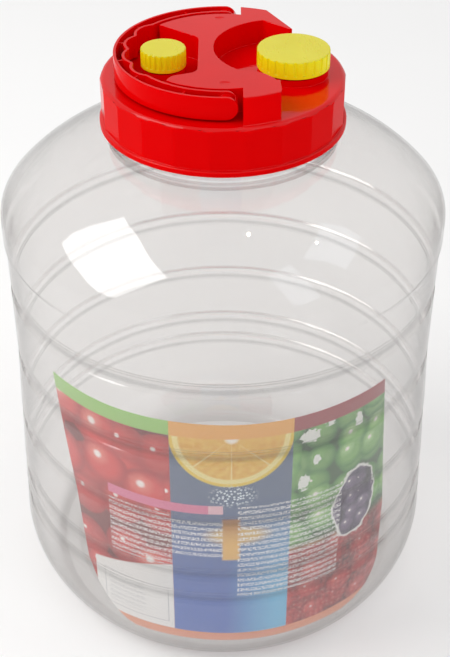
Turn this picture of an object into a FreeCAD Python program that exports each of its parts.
import FreeCAD, Part
import Sketcher
import math
import os

# A large clear jar for fermenting fruit wine: blow-moulded body, printed insert sheet,
# screw lid with a folding carrying handle, a pouring cap and a small vent cap.
# Millimetres, +Z up, origin at the centre of the surface the jar stands on.

doc = FreeCAD.newDocument("FermentingJar")

# Driving sizes: name, value, meaning.
sizeTable = [
    ("footInner", 104, "jar: inner edge of the standing ring"),
    ("footOuter", 122, "jar: outer edge of the standing ring"),
    ("puntRadius", 68, "jar: flat middle of the raised base"),
    ("puntRise", 9, "jar: height of the raised base"),
    ("bellyRadius", 139.9, "jar: widest radius, above the heel"),
    ("heelHeight", 46, "jar: height at which the heel curve ends"),
    ("waistRadius", 134.9, "jar: wall radius under the shoulder"),
    ("shoulderRadius", 136.2, "jar: radius of the band at the shoulder"),
    ("bodyHeight", 279, "jar: height at which the shoulder starts to turn in"),
    ("bandHeight", 13, "jar: height of the shoulder band"),
    ("bandStep", 4, "jar: height of the step under the band"),
    ("cornerRadius", 14, "jar: rounding at the shoulder edge"),
    ("cornerTurn", 42, "jar: degrees turned by that rounding"),
    ("domeRadius", 119.5, "jar: curve of the shoulder dome"),
    ("shoulderRise", 46.8, "jar: from the shoulder edge up to the neck"),
    ("jarWall", 1.3, "jar: wall thickness"),
    ("neckRadius", 65.6, "jar: outside radius of the neck"),
    ("neckWall", 2.2, "jar: wall thickness of the neck"),
    ("neckHeight", 33.4, "jar: neck from the dome to the rim"),
    ("beadRadius", 69.2, "jar: radius of the bead under the lid"),
    ("beadRise", 2.6, "jar: dome to the underside of the bead"),
    ("beadHeight", 3.2, "jar: height of the bead"),
    ("ringDepth", 2.6, "jar: depth of the strengthening rings"),
    ("ringRadius", 6.1, "jar: section radius of the rings"),
    ("topRing", 45, "jar: top ring below the shoulder edge"),
    ("ringSpacing", 50, "jar: distance between rings"),
    ("lowRing", 69.5, "jar: height of the lowest ring"),
    ("lowRingGap", 21, "jar: distance between the two lowest rings"),
    ("sheetWall", 0.4, "insert: thickness"),
    ("sheetHeight", 185, "insert: height"),
    ("sheetFoot", 22, "insert: height of its lower edge"),
    ("sheetAngle", 106, "insert: degrees of the jar that it covers"),
    ("gap", 0.3, "clearance between parts that seat on each other"),
    ("lidPitch", 6, "lid thread: pitch"),
    ("lidTurns", 1.25, "lid thread: turns"),
    ("lidThreadDepth", 1.9, "lid thread: depth"),
    ("lidThreadFoot", 18.2, "lid thread: start above the dome"),
    ("threadPlay", 0.9, "radial play between a crest and the wall it faces"),
    ("skirtWall", 2.4, "lid: skirt wall behind the grip flats"),
    ("gripFlats", 22, "lid: number of grip flats"),
    ("rimLip", 1.3, "lid: how far the bottom rim stands out"),
    ("rimHeight", 3.6, "lid: height of the bottom rim"),
    ("skirtDepth", 28.6, "lid: deck down to the bottom rim"),
    ("deckWall", 2.2, "lid: thickness of the deck"),
    ("rimSlope", 0.6, "lid: slope on top of the bottom rim"),
    ("crownRadius", 3.2, "lid: rounding from the flats in to the deck"),
    ("gripTurn", 2.2, "lid: degrees that the grip flats are turned"),
    ("gasketWall", 2, "gasket: thickness"),
    ("gasketWidth", 4, "gasket: width"),
    ("platformHeight", 14.4, "lid: height of the raised platform"),
    ("platformWall", 2.2, "lid: wall of the platform"),
    ("flareMargin", 2.9, "lid: foot of the wings' slope inside the grip flats"),
    ("planRadius", 51.5, "platform: radius that the sizes of its plan are for"),
    ("tipAngle", 53, "platform: degrees from the vent side to its front tip"),
    ("heelAngle", 42.4, "platform: degrees from the vent side to its back heel"),
    ("wingAngle", 60, "platform: degrees from the pouring side to the front wing"),
    ("hornAngle", 65, "platform: degrees from the pouring side to the back wing"),
    ("wingCurve", 23.5, "platform: curve of the front wing's inner edge"),
    ("bayCurve", 39.7, "platform: curve of the bay around the pouring cap"),
    ("bayFrontX", 8.5, "platform: front end of the bay, to the right"),
    ("bayFrontY", 27, "platform: front end of the bay, to the front"),
    ("bayBackX", 23.8, "platform: back end of the bay, to the right"),
    ("bayBackY", 41.6, "platform: back end of the bay, to the back"),
    ("notchX", 39, "platform: corner of the back wing, to the right"),
    ("notchY", 28.4, "platform: corner of the back wing, to the back"),
    ("notchStepX", 2, "platform: length of that corner's short edge"),
    ("notchStepY", 0.4, "platform: rise of that corner's short edge"),
    ("pocketMargin", 7, "platform: gap between the vent cap and the waist"),
    ("pocketBackX", 4.5, "platform: back corner of the waist, to the left"),
    ("pocketBackY", 20, "platform: back corner of the waist, to the back"),
    ("pocketBackCurve", 8, "platform: curve at that corner"),
    ("waistBackY", 12.5, "platform: back end of the straight waist"),
    ("waistFrontY", 25.5, "platform: front end of the straight waist"),
    ("waistFrontCurve", 6.5, "platform: curve at the waist's front end"),
    ("tipRootX", 3.5, "platform: root of the front tip, to the left"),
    ("tipRootY", 31, "platform: root of the front tip, to the front"),
    ("tipNeckX", 13, "platform: narrow part of the front tip, to the left"),
    ("tipNeckY", 34.6, "platform: narrow part of the front tip, to the front"),
    ("tipCurve", 9, "platform: curve of the front tip's end"),
    ("frontFlare", 40, "lid: the front wing leans out ahead of this line"),
    ("backFlare", 50, "lid: the back wing leans out behind this line"),
    ("waistCoreWidth", 4.2, "coring: width in the waist"),
    ("waistCoreLength", 30, "coring: length in the waist"),
    ("frontCoreLength", 30, "coring: length under the front of the platform"),
    ("frontCoreWidth", 16, "coring: width under the front of the platform"),
    ("backCoreLength", 34, "coring: length under the back of the platform"),
    ("backCoreWidth", 8, "coring: width under the back of the platform"),
    ("handleSet", 5.4, "handle: set back from the lid's bore radius"),
    ("handleWidth", 9.2, "handle: outer face to inner face"),
    ("handleHeight", 13.4, "handle: height of its section"),
    ("handleWall", 1.7, "handle: wall of its channel"),
    ("handleFloor", 2, "handle: floor of its channel"),
    ("handleLift", 1.2, "handle: clearance above the deck"),
    ("handleGap", 2.3, "handle: clearance around the platform"),
    ("pivotOffset", 1.5, "handle: pivot ahead of the lid's centre"),
    ("endGap", 2.6, "handle: clearance between its ends and the wings"),
    ("pegRadius", 3.2, "handle: radius of the pivot pegs"),
    ("pegFit", 0.06, "handle: running clearance on the pegs"),
    ("pegLength", 5.4, "handle: peg length inside the handle"),
    ("bossWall", 1.9, "handle: wall around the peg holes"),
    ("scallopRadius", 12.1, "handle: radius of the finger scallops"),
    ("scallopReach", 2.8, "handle: how far the scallops bulge outwards"),
    ("scallopStep", 20, "handle: degrees between the scallops"),
    ("ribWall", 1.3, "handle: thickness of the cross ribs"),
    ("ribDrop", 1.6, "handle: ribs below the handle's top edge"),
    ("pourRadius", 21.1, "pouring cap: radius"),
    ("pourHeight", 10.2, "pouring cap: height"),
    ("pourInset", 1.4, "pouring cap: set in from the handle's outer face"),
    ("pourPitch", 2.4, "pouring cap thread: pitch"),
    ("ventRadius", 13.1, "vent cap: radius"),
    ("ventHeight", 10.4, "vent cap: height"),
    ("ventInset", 6.4, "vent cap: set in from the handle's inner face"),
    ("ventPitch", 2.2, "vent cap thread: pitch"),
    ("capLift", 5, "caps: bottom edge above the deck"),
    ("capWall", 1.6, "caps: side wall behind the flutes"),
    ("capTop", 1.9, "caps: thickness of the top"),
    ("capTurns", 1.25, "cap threads: turns"),
    ("capThreadDepth", 1, "cap threads: depth"),
    ("capThreadPlay", 0.5, "cap threads: radial play"),
    ("capFlutes", 24, "caps: number of flutes"),
    ("fluteDepth", 0.55, "caps: depth of a flute"),
    ("fluteRadius", 1.25, "caps: section radius of a flute"),
    ("fluteFoot", 1.8, "caps: plain band under the flutes"),
    ("capEdge", 0.9, "caps: rounding of the top edge"),
    ("spoutWall", 2, "spouts: wall thickness at the lip"),
    ("lipFlare", 0.65, "spouts: widening of the bore at the lip"),
    ("collarGap", 0.8, "spouts: clearance between collar and cap"),
    ("linerWall", 1, "cap liners: thickness"),
    ("threadFoot", 0.9, "cap threads: start above the cap's edge, in pitches"),
    ("threadLag", 0.42, "threads: inner ridge below the outer one, in pitches"),
    ("innerTurns", 1, "threads: turns of the ridge inside a cap or the lid"),
    ("ridgeBase", 0.2, "threads: half height of a ridge at its wall, in pitches"),
    ("ridgeCrest", 0.11, "threads: half height of a ridge at its crest, in pitches"),
]

sheet = doc.addObject("Spreadsheet::Sheet", "Sizes")
for row, (alias, number, meaning) in enumerate(sizeTable, start=1):
    sheet.set("A%d" % row, meaning)
    sheet.set("B%d" % row, str(number))
    sheet.setAlias("B%d" % row, alias)
doc.recompute()


class Measure:
    # A size with its value and the formula that ties it to the spreadsheet.

    def __init__(self, value, formula):
        self.value = value
        self.formula = formula

    def __add__(self, other):
        other = measure(other)
        return Measure(self.value + other.value, "(%s + %s)" % (self.formula, other.formula))

    def __sub__(self, other):
        other = measure(other)
        return Measure(self.value - other.value, "(%s - %s)" % (self.formula, other.formula))

    def __mul__(self, other):
        other = measure(other)
        return Measure(self.value * other.value, "(%s * %s)" % (self.formula, other.formula))

    def __truediv__(self, other):
        other = measure(other)
        return Measure(self.value / other.value, "(%s / %s)" % (self.formula, other.formula))

    def __rsub__(self, other):
        return measure(other) - self

    def __neg__(self):
        return measure(0) - self

    __radd__ = __add__
    __rmul__ = __mul__


def measure(number):
    if isinstance(number, Measure):
        return number
    return Measure(float(number), "%.9g" % number if number >= 0 else "(%.9g)" % number)


def root(area):
    area = measure(area)
    return Measure(math.sqrt(area.value), "sqrt(%s)" % area.formula)


def cosine(degrees):
    degrees = measure(degrees)
    return Measure(math.cos(math.radians(degrees.value)), "cos(%s * 1 deg)" % degrees.formula)


def sine(degrees):
    degrees = measure(degrees)
    return Measure(math.sin(math.radians(degrees.value)), "sin(%s * 1 deg)" % degrees.formula)


class Sizes:
    pass


size = Sizes()
for alias, number, meaning in sizeTable:
    setattr(size, alias, Measure(float(number), "Sizes." + alias))


# Helpers that make bound objects.

def bind(item, target, amount):
    item.setExpression(target, measure(amount).formula)


def place(item, x=0, y=0, z=0, turn=0, axis=(0, 0, 1)):
    spot = [measure(x), measure(y), measure(z)]
    base = FreeCAD.Vector(*[amount.value for amount in spot])
    rotation = FreeCAD.Rotation(FreeCAD.Vector(*axis), measure(turn).value)
    item.Placement = FreeCAD.Placement(base, rotation)
    for letter, amount in zip("xyz", spot):
        bind(item, "Placement.Base." + letter, amount)
    return item


def cylinder(name, radius, height, **spot):
    item = doc.addObject("Part::Cylinder", name)
    bind(item, "Radius", radius)
    bind(item, "Height", height)
    return place(item, **spot)


def block(name, length, width, height, **spot):
    item = doc.addObject("Part::Box", name)
    bind(item, "Length", length)
    bind(item, "Width", width)
    bind(item, "Height", height)
    return place(item, **spot)


def cut(name, base, tool):
    item = doc.addObject("Part::Cut", name)
    item.Base = base
    item.Tool = tool
    return item


def join(name, items):
    item = doc.addObject("Part::MultiFuse", name)
    item.Shapes = items
    return item


def overlap(name, items):
    item = doc.addObject("Part::MultiCommon", name)
    item.Shapes = items
    return item


def tube(name, outer, inner, height, **spot):
    rod = cylinder(name + "Outside", outer, height, **spot)
    hole = cylinder(name + "Inside", inner, height, **spot)
    return cut(name, rod, hole)


def extruded(name, sketch, direction, ahead, behind=0):
    item = doc.addObject("Part::Extrusion", name)
    item.Base = sketch
    item.Solid = True
    item.DirMode = "Custom"
    item.Dir = FreeCAD.Vector(*direction)
    bind(item, "LengthFwd", ahead)
    bind(item, "LengthRev", behind)
    return item


def originPlane(body, role):
    return next(item for item in body.Origin.OriginFeatures if item.Role == role)


def arcBetween(start, end, radius, side):
    # The short arc from start to end that bulges to the left (1) or the right (-1).
    chord = end - start
    across = FreeCAD.Vector(-chord.y, chord.x, 0).normalize() * side
    rise = math.sqrt(max(radius ** 2 - (chord.Length / 2) ** 2, 0))
    centre = (start + end) * 0.5 - across * rise
    first, last = (end, start) if side > 0 else (start, end)
    angles = [math.atan2(point.y - centre.y, point.x - centre.x) for point in (first, last)]
    if angles[1] < angles[0]:
        angles[1] += 2 * math.pi
    circle = Part.Circle(centre, FreeCAD.Vector(0, 0, 1), radius)
    return Part.ArcOfCircle(circle, angles[0], angles[1])


def outline(sketch, corners):
    # A corner is (across, up), or (across, up, radius, side) when an arc leads to the next.
    points = [FreeCAD.Vector(measure(c[0]).value, measure(c[1]).value, 0) for c in corners]
    heads = []
    tails = []
    for number, corner in enumerate(corners):
        start = points[number]
        end = points[(number + 1) % len(points)]
        if len(corner) == 4:
            radius = measure(corner[2])
            sketch.addGeometry(arcBetween(start, end, radius.value, corner[3]))
            held = sketch.addConstraint(Sketcher.Constraint("Radius", number, radius.value))
            sketch.setExpression("Constraints[%d]" % held, radius.formula)
            heads.append(2 if corner[3] > 0 else 1)
            tails.append(1 if corner[3] > 0 else 2)
        else:
            sketch.addGeometry(Part.LineSegment(start, end))
            heads.append(1)
            tails.append(2)
    for number in range(len(corners)):
        following = (number + 1) % len(corners)
        sketch.addConstraint(
            Sketcher.Constraint("Coincident", number, tails[number], following, heads[following]))
    for number, corner in enumerate(corners):
        for kind, amount in (("DistanceX", corner[0]), ("DistanceY", corner[1])):
            amount = measure(amount)
            held = sketch.addConstraint(
                Sketcher.Constraint(kind, -1, 1, number, heads[number], amount.value))
            sketch.setExpression("Constraints[%d]" % held, amount.formula)


def bodySketch(body, name, role, corners, lift=0):
    sketch = body.newObject("Sketcher::SketchObject", name)
    sketch.AttachmentSupport = [(originPlane(body, role), "")]
    sketch.MapMode = "FlatFace"
    bind(sketch, "AttachmentOffset.Base.z", lift)
    outline(sketch, corners)
    return sketch


def turnedBody(name, corners, role="XZ_Plane", angle=None):
    body = doc.addObject("PartDesign::Body", name)
    sketch = bodySketch(body, name + "Section", role, corners)
    turned = body.newObject("PartDesign::Revolution", name + "Turned")
    turned.Profile = sketch
    turned.ReferenceAxis = (sketch, ["V_Axis"])
    if angle is None:
        turned.Angle = 360
    else:
        turned.Midplane = True
        bind(turned, "Angle", angle)
    doc.recompute()
    return body


def addThread(body, wallRadius, crestRadius, foot, pitch, turns):
    # A helical ridge that starts a little inside the wall it stands on.
    sink = 0.3 if crestRadius.value > wallRadius.value else -0.3
    halfBase = pitch * size.ridgeBase
    halfCrest = pitch * size.ridgeCrest
    corners = [(wallRadius - sink, foot - halfBase), (crestRadius, foot - halfCrest),
               (crestRadius, foot + halfCrest), (wallRadius - sink, foot + halfBase)]
    sketch = bodySketch(body, body.Name + "Ridge", "XZ_Plane", corners)
    ridge = body.newObject("PartDesign::AdditiveHelix", body.Name + "Thread")
    ridge.Profile = sketch
    ridge.ReferenceAxis = (sketch, ["V_Axis"])
    ridge.Mode = "pitch-turns-angle"
    ridge.HasBeenEdited = True
    bind(ridge, "Pitch", pitch)
    bind(ridge, "Turns", turns)
    doc.recompute()
    return body


# Levels and radii that several parts share.

over = measure(1)  # how far a cutting tool reaches past what it cuts
neckFoot = size.bodyHeight + size.shoulderRise
rimTop = neckFoot + size.neckHeight
neckInner = size.neckRadius - size.neckWall
gasketFoot = rimTop + size.gap
deckUnder = gasketFoot + size.gasketWall + size.gap
deckTop = deckUnder + size.deckWall
platformTop = deckTop + size.platformHeight
skirtFoot = deckTop - size.skirtDepth
lidBore = size.neckRadius + size.lidThreadDepth + size.threadPlay
flatRadius = lidBore + size.skirtWall
cornerFlat = flatRadius / cosine(measure(180) / size.gripFlats)
deckRadius = cornerFlat - size.crownRadius
handleOuter = lidBore - size.handleSet
handleInner = handleOuter - size.handleWidth
platformRadius = handleInner - size.handleGap
planScale = platformRadius / size.planRadius
handleFoot = deckTop + size.handleLift
pivotHeight = handleFoot + size.handleHeight / 2
wingFace = size.pivotOffset + size.handleHeight / 2 + size.endGap
capFoot = deckTop + size.capLift
pourCentre = handleOuter - size.pourInset - size.pourRadius
ventCentre = size.ventRadius + size.ventInset - handleInner


# Jar body: one blow-moulded wall, drawn as its outer line up and its inner line down.

def ringList():
    # Height and wall radius of the rings, lowest first.
    taperFoot = size.heelHeight
    top = size.bodyHeight - size.topRing
    middle = top - size.ringSpacing
    taper = (size.bellyRadius - size.waistRadius) / (middle - taperFoot)
    heights = [size.lowRing, size.lowRing + size.lowRingGap, middle - size.ringSpacing]
    rings = [(height, size.bellyRadius - taper * (height - taperFoot)) for height in heights]
    return rings + [(middle, size.waistRadius), (top, size.waistRadius)]


def ringCorners(inset, upwards):
    # A ring is an arc pressed into the wall; the inner face follows it at the wall's distance.
    section = size.ringRadius + inset
    depth = size.ringRadius - size.ringDepth + inset
    half = root(section * section - depth * depth)
    corners = []
    for height, radius in ringList() if upwards else reversed(ringList()):
        wall = radius - inset
        first, last = (height - half, height + half) if upwards else (height + half, height - half)
        corners.append((wall, first, section, 1 if upwards else -1))
        corners.append((wall, last))
    return corners


def makeJar():
    wall = size.jarWall
    heel = size.bellyRadius - size.footOuter
    heelCurve = (heel * heel + size.heelHeight * size.heelHeight) / (2 * heel)
    innerHeel = heelCurve - wall
    innerRise = size.heelHeight - wall
    innerFoot = size.bellyRadius - heelCurve + root(innerHeel * innerHeel - innerRise * innerRise)
    turnCentre = size.shoulderRadius - size.cornerRadius
    domeFoot = (turnCentre + size.cornerRadius * cosine(size.cornerTurn),
                size.bodyHeight + size.cornerRadius * sine(size.cornerTurn))
    innerCorner = size.cornerRadius - wall
    innerDomeFoot = (turnCentre + innerCorner * cosine(size.cornerTurn),
                     size.bodyHeight + innerCorner * sine(size.cornerTurn))
    bandFoot = size.bodyHeight - size.bandHeight
    beadFoot = neckFoot + size.beadRise
    beadTop = beadFoot + size.beadHeight
    corners = [(0, size.puntRise), (size.puntRadius, size.puntRise), (size.footInner, 0),
               (size.footOuter, 0, heelCurve, -1), (size.bellyRadius, size.heelHeight)]
    corners += ringCorners(measure(0), True)
    corners += [(size.waistRadius, bandFoot - size.bandStep), (size.shoulderRadius, bandFoot),
                (size.shoulderRadius, size.bodyHeight, size.cornerRadius, -1),
                (domeFoot[0], domeFoot[1], size.domeRadius, -1),
                (size.neckRadius, neckFoot), (size.neckRadius, beadFoot),
                (size.beadRadius, beadFoot), (size.beadRadius, beadTop),
                (size.neckRadius, beadTop), (size.neckRadius, rimTop), (neckInner, rimTop),
                (neckInner, neckFoot - wall, size.domeRadius - wall, 1),
                (innerDomeFoot[0], innerDomeFoot[1], innerCorner, 1),
                (size.shoulderRadius - wall, size.bodyHeight),
                (size.shoulderRadius - wall, bandFoot),
                (size.waistRadius - wall, bandFoot - size.bandStep)]
    corners += ringCorners(wall, False)
    corners += [(size.bellyRadius - wall, size.heelHeight, innerHeel, 1),
                (innerFoot, wall), (size.footInner, wall),
                (size.puntRadius, size.puntRise + wall), (0, size.puntRise + wall)]
    body = turnedBody("jar", corners)
    return addThread(body, size.neckRadius, size.neckRadius + size.lidThreadDepth,
                     neckFoot + size.lidThreadFoot, size.lidPitch, size.lidTurns)


# Printed insert: a thin sheet that springs open against the rings at the front.

def makeInsert():
    reach = size.waistRadius - size.ringDepth - size.jarWall - size.gap
    top = size.sheetFoot + size.sheetHeight
    corners = [(-reach, size.sheetFoot), (size.sheetWall - reach, size.sheetFoot),
               (size.sheetWall - reach, top), (-reach, top)]
    return turnedBody("label_insert", corners, "YZ_Plane", size.sheetAngle)


# Flat ring that seals the jar's rim under the lid.

def makeGasket():
    outer = size.neckRadius + size.gap
    inner = outer - size.gasketWidth
    top = gasketFoot + size.gasketWall
    corners = [(inner, gasketFoot), (outer, gasketFoot), (outer, top), (inner, top)]
    return turnedBody("lid_gasket", corners)


# Spouts: each is a threaded tube with a collar, standing on the deck over its own hole.

def capSizes(kind):
    radius = getattr(size, kind + "Radius")
    height = getattr(size, kind + "Height")
    bore = radius - size.fluteDepth - size.capWall
    spout = bore - size.capThreadDepth - size.capThreadPlay
    linerTop = capFoot + height - size.capTop - size.gap
    return {"radius": radius, "height": height, "bore": bore, "spout": spout,
            "hole": spout - size.spoutWall - size.lipFlare, "pitch": getattr(size, kind + "Pitch"),
            "centre": pourCentre if kind == "pour" else ventCentre,
            "linerTop": linerTop, "lip": linerTop - size.linerWall - size.gap}


def makeSpout(kind):
    cap = capSizes(kind)
    collarTop = capFoot - size.collarGap
    corners = [(cap["hole"], deckUnder), (cap["radius"] - size.fluteDepth, deckUnder),
               (cap["radius"] - size.fluteDepth, collarTop), (cap["spout"], collarTop),
               (cap["spout"], cap["lip"]), (cap["spout"] - size.spoutWall, cap["lip"]),
               (cap["hole"], cap["lip"] - 2 * size.lipFlare)]
    body = turnedBody(kind + "Spout", corners)
    addThread(body, cap["spout"], cap["spout"] + size.capThreadDepth,
              capFoot + cap["pitch"] * size.threadFoot, cap["pitch"], size.capTurns)
    return place(body, x=cap["centre"])


def makeCap(kind):
    cap = capSizes(kind)
    top = capFoot + cap["height"]
    edge = size.capEdge
    corners = [(cap["bore"], capFoot), (cap["radius"], capFoot),
               (cap["radius"], top - edge, edge, -1), (cap["radius"] - edge, top), (0, top),
               (0, top - size.capTop), (cap["bore"], top - size.capTop)]
    body = turnedBody(kind + "_cap", corners)
    addThread(body, cap["bore"], cap["bore"] - size.capThreadDepth,
              capFoot + cap["pitch"] * (size.threadFoot - size.threadLag), cap["pitch"],
              size.innerTurns)
    before = body.Shape.Volume
    fluteAt = cap["radius"] + size.fluteRadius - size.fluteDepth
    sketch = body.newObject("Sketcher::SketchObject", body.Name + "FluteSection")
    sketch.AttachmentSupport = [(originPlane(body, "XY_Plane"), "")]
    sketch.MapMode = "FlatFace"
    bind(sketch, "AttachmentOffset.Base.z", capFoot + size.fluteFoot)
    middle = FreeCAD.Vector(fluteAt.value, 0, 0)
    ring = Part.Circle(middle, FreeCAD.Vector(0, 0, 1), size.fluteRadius.value)
    sketch.addGeometry(ring)
    for kindOf, amount in (("DistanceX", fluteAt), ("Radius", size.fluteRadius)):
        if kindOf == "Radius":
            rule = Sketcher.Constraint(kindOf, 0, amount.value)
        else:
            rule = Sketcher.Constraint(kindOf, -1, 1, 0, 3, amount.value)
        held = sketch.addConstraint(rule)
        sketch.setExpression("Constraints[%d]" % held, amount.formula)
    sketch.addConstraint(Sketcher.Constraint("PointOnObject", 0, 3, -1))
    flute = body.newObject("PartDesign::Pocket", body.Name + "Flute")
    flute.Profile = sketch
    flute.Reversed = True
    bind(flute, "Length", cap["height"])
    doc.recompute()
    around = body.newObject("PartDesign::PolarPattern", body.Name + "Flutes")
    around.Originals = [flute]
    around.Axis = (sketch, ["N_Axis"])
    around.Angle = 360
    bind(around, "Occurrences", size.capFlutes)
    body.Tip = around
    doc.recompute()
    if body.Shape.Volume > before - 1:
        raise RuntimeError(body.Name + ": the flutes cut nothing")
    return place(body, x=cap["centre"])


def makeLiner(kind):
    cap = capSizes(kind)
    radius = cap["bore"] - size.capThreadDepth - size.gap
    disc = cylinder(kind + "_cap_liner", radius, size.linerWall,
                    x=cap["centre"], z=cap["linerTop"] - size.linerWall)
    return disc


# Lid: a threaded cup with grip flats, a platform, two spouts and two pivot pegs.

def planned(name):
    # A size of the platform's plan, which grows with the platform.
    return getattr(size, name) * planScale


def onCircle(radius, angle):
    return (radius * cosine(angle), radius * sine(angle))


def platformCorners():
    # Plan of the raised platform, counter-clockwise from the tip beside the vent cap.
    pocket = ventCentre + size.ventRadius + planned("pocketMargin")
    depth = root(platformRadius * platformRadius - wingFace * wingFace)
    reach = root(handleOuter * handleOuter - wingFace * wingFace)
    tip = onCircle(platformRadius, size.tipAngle + 180)
    heel = onCircle(platformRadius, 180 - size.heelAngle)
    wing = onCircle(handleOuter, -size.wingAngle)
    horn = onCircle(handleOuter, size.hornAngle)
    notch = (planned("notchX"), planned("notchY"))
    return [
        (tip[0], tip[1], platformRadius, -1),
        (wingFace, -depth), (wingFace, -reach, handleOuter, -1),
        (wing[0], wing[1], planned("wingCurve"), -1),
        (planned("bayFrontX"), -planned("bayFrontY"), planned("bayCurve"), 1),
        (planned("bayBackX"), planned("bayBackY")), notch,
        (notch[0] + planned("notchStepX"), notch[1] + planned("notchStepY")),
        (horn[0], horn[1], handleOuter, -1),
        (wingFace, reach), (wingFace, depth, platformRadius, -1),
        heel,
        (pocket - planned("pocketBackX"), planned("pocketBackY"), planned("pocketBackCurve"), 1),
        (pocket, planned("waistBackY")),
        (pocket, -planned("waistFrontY"), planned("waistFrontCurve"), 1),
        (pocket - planned("tipRootX"), -planned("tipRootY")),
        (pocket - planned("tipNeckX"), -planned("tipNeckY"), planned("tipCurve"), -1),
    ]


def makePlatform():
    plan = doc.addObject("Sketcher::SketchObject", "PlatformPlan")
    outline(plan, platformCorners())
    return place(extruded("PlatformBlock", plan, (0, 0, 1), platformTop - deckUnder), z=deckUnder)


def makeFlares():
    # Below the wings' edges the wall leans out to meet the grip flats.
    slope = doc.addObject("Part::Cone", "WingSlope")
    bind(slope, "Radius1", flatRadius - size.flareMargin)
    bind(slope, "Radius2", handleOuter)
    bind(slope, "Height", size.platformHeight)
    place(slope, z=deckTop)
    wing = handleOuter * cosine(size.wingAngle)
    horn = handleOuter * cosine(size.hornAngle)
    front = block("FrontFlareLimit", wing - wingFace, flatRadius, size.platformHeight,
                  x=wingFace, y=-(flatRadius + planned("frontFlare")), z=deckTop)
    back = block("BackFlareLimit", horn - wingFace, flatRadius, size.platformHeight,
                 x=wingFace, y=planned("backFlare"), z=deckTop)
    return overlap("WingFlares", [slope, join("FlareLimits", [front, back])])


def makeCores():
    # Coring under the platform leaves its roof and sides one wall thick.
    wall = size.platformWall
    foot = deckUnder - over
    height = platformTop - wall - foot
    inside = cylinder("CoreLimit", platformRadius - wall, height, z=foot)
    pocket = ventCentre + size.ventRadius + planned("pocketMargin")
    tip = planned("waistCoreLength") / 2
    waist = block("WaistCore", planned("waistCoreWidth"), tip * 2, height,
                  x=pocket + wall, y=-tip, z=foot)
    front = block("FrontCore", planned("frontCoreLength"), planned("frontCoreWidth"), height,
                  x=pocket + wall - planned("frontCoreLength") / 3, y=-platformRadius, z=foot)
    back = block("BackCore", planned("backCoreLength"), planned("backCoreWidth"), height,
                 x=pocket + wall - planned("backCoreLength") / 4,
                 y=platformRadius - planned("backCoreWidth"), z=foot)
    return overlap("Cores", [inside, join("CoreBlocks", [waist, front, back])])


def makePegs():
    reach = handleInner + size.pegLength
    start = platformRadius - 1.5 * size.platformWall
    pegs = []
    for side, y in (("Front", -start), ("Back", reach)):
        peg = cylinder("Peg" + side, size.pegRadius, reach - start, turn=90, axis=(1, 0, 0),
                       x=size.pivotOffset, y=y, z=pivotHeight)
        pegs.append(peg)
    return pegs


def makeLid():
    rimRadius = cornerFlat + size.rimLip
    rimTopLevel = skirtFoot + size.rimHeight
    crownFoot = deckTop - size.crownRadius
    corners = [(lidBore, skirtFoot), (rimRadius, skirtFoot), (rimRadius, rimTopLevel - size.rimSlope),
               (cornerFlat, rimTopLevel), (cornerFlat, crownFoot, size.crownRadius, -1),
               (deckRadius, deckTop), (0, deckTop), (0, deckUnder), (lidBore, deckUnder)]
    cup = turnedBody("LidCup", corners)
    addThread(cup, lidBore, lidBore - size.lidThreadDepth,
              neckFoot + size.lidThreadFoot - size.lidPitch * size.threadLag,
              size.lidPitch, size.innerTurns)
    height = size.skirtDepth
    ring = cylinder("GripRing", rimRadius + over, height, z=rimTopLevel)
    prism = doc.addObject("Part::Prism", "GripPrism")
    bind(prism, "Polygon", size.gripFlats)
    bind(prism, "Circumradius", cornerFlat)
    bind(prism, "Height", height)
    place(prism, z=rimTopLevel, turn=size.gripTurn)
    solids = [cut("GrippedCup", cup, cut("GripCutter", ring, prism)),
              makePlatform(), makeFlares(), makeSpout("pour"), makeSpout("vent")] + makePegs()
    holes = [makeCores()]
    for kind in ("pour", "vent"):
        cap = capSizes(kind)
        holes.append(cylinder(kind + "Hole", cap["hole"], size.capLift + size.deckWall,
                              x=cap["centre"], z=deckUnder - over))
    return cut("lid", join("LidSolids", solids), join("LidHoles", holes))


# Carrying handle: a half ring with a channel section, scalloped inside for the fingers.

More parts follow.
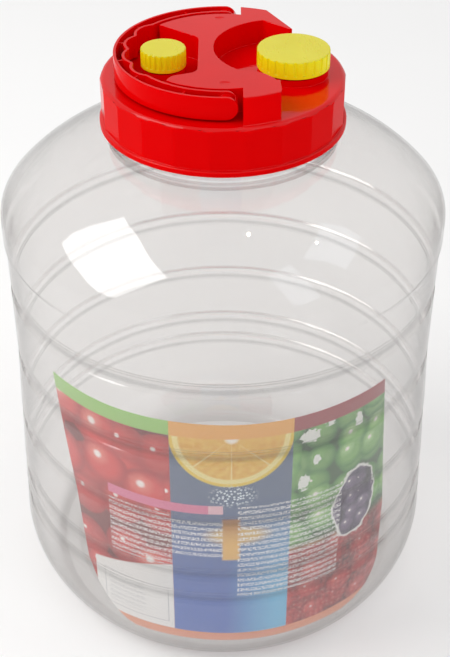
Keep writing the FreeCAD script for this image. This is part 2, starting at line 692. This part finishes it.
def makeHandle():
    half = size.handleHeight / 2
    hoop = tube("HandleHoop", handleOuter, handleInner, size.handleHeight, z=handleFoot)
    span = handleOuter + 5
    profile = doc.addObject("Sketcher::SketchObject", "HandleProfile")
    profile.Placement.Rotation = FreeCAD.Rotation(FreeCAD.Vector(1, 0, 0), 90)
    outline(profile, [(-span, handleFoot), (size.pivotOffset, handleFoot, half, -1),
                      (size.pivotOffset + half, pivotHeight, half, -1),
                      (size.pivotOffset, handleFoot + size.handleHeight),
                      (-span, handleFoot + size.handleHeight)])
    shell = overlap("HandleShell", [hoop, extruded("HandleSpan", profile, (0, 1, 0), span, span)])

    top = size.handleHeight - size.handleFloor + 1
    channel = tube("HandleChannel", handleOuter - size.handleWall, handleInner + size.handleWall,
                   top, z=handleFoot + size.handleFloor)
    limit = block("ChannelLimit", span + size.pivotOffset + half - size.handleWall, 2 * span,
                  size.handleHeight * 2, x=-span, y=-span, z=handleFoot)
    trough = overlap("HandleTrough", [channel, limit])

    keep = []
    grips = []
    gripCentre = handleInner + size.scallopReach - size.scallopRadius
    for number in range(4):
        angle = 180 + size.scallopStep * (number - 1.5)
        at = {"x": gripCentre * cosine(angle), "y": gripCentre * sine(angle), "z": handleFoot - 1}
        height = size.handleHeight + 2
        grips.append(cylinder("Scallop%d" % number, size.scallopRadius, height, **at))
        keep.append(cylinder("ScallopBack%d" % number, size.scallopRadius + size.handleWall,
                             height, **at))
    ribHeight = size.handleHeight - size.ribDrop
    for number, angle in enumerate((-68, -34.5, -11.5, 11.5, 34.5, 68)):
        turned = math.radians(180 + angle)
        off = size.ribWall / 2
        rib = block("HandleRib%d" % number, handleOuter, size.ribWall, ribHeight,
                    x=off * math.sin(turned), y=-off * math.cos(turned), z=handleFoot,
                    turn=180 + angle)
        keep.append(rib)
    keep.append(cylinder("HandleBosses", size.pegRadius + size.bossWall, 2 * span,
                         turn=90, axis=(1, 0, 0), x=size.pivotOffset, y=span, z=pivotHeight))
    hollow = cut("HandleHollow", trough, join("HandleKeep", keep))
    depth = handleInner + size.pegLength + 0.5
    holes = cylinder("HandlePegHoles", size.pegRadius + size.pegFit, 2 * depth,
                     turn=90, axis=(1, 0, 0), x=size.pivotOffset, y=depth, z=pivotHeight)
    return cut("carry_handle", shell, join("HandleCuts", [hollow, holes] + grips))


parts = [
    makeJar(),
    makeInsert(),
    makeGasket(),
    makeLid(),
    makeHandle(),
    makeCap("pour"),
    makeLiner("pour"),
    makeCap("vent"),
    makeLiner("vent"),
]
doc.recompute()

for item in doc.Objects:
    if "Invalid" in item.State or "Error" in item.State:
        raise RuntimeError("%s failed: %s" % (item.Name, item.State))

os.makedirs("parts", exist_ok=True)
for part in parts:
    part.Label = part.Name
    shape = part.Shape
    if shape.isNull() or not shape.isValid():
        raise RuntimeError(part.Name + " has no valid shape")
    print("%-16s solids %d  volume %.1f cm3" % (part.Label, len(shape.Solids), shape.Volume / 1000))
    shape.exportStep("parts/%s.step" % part.Label)
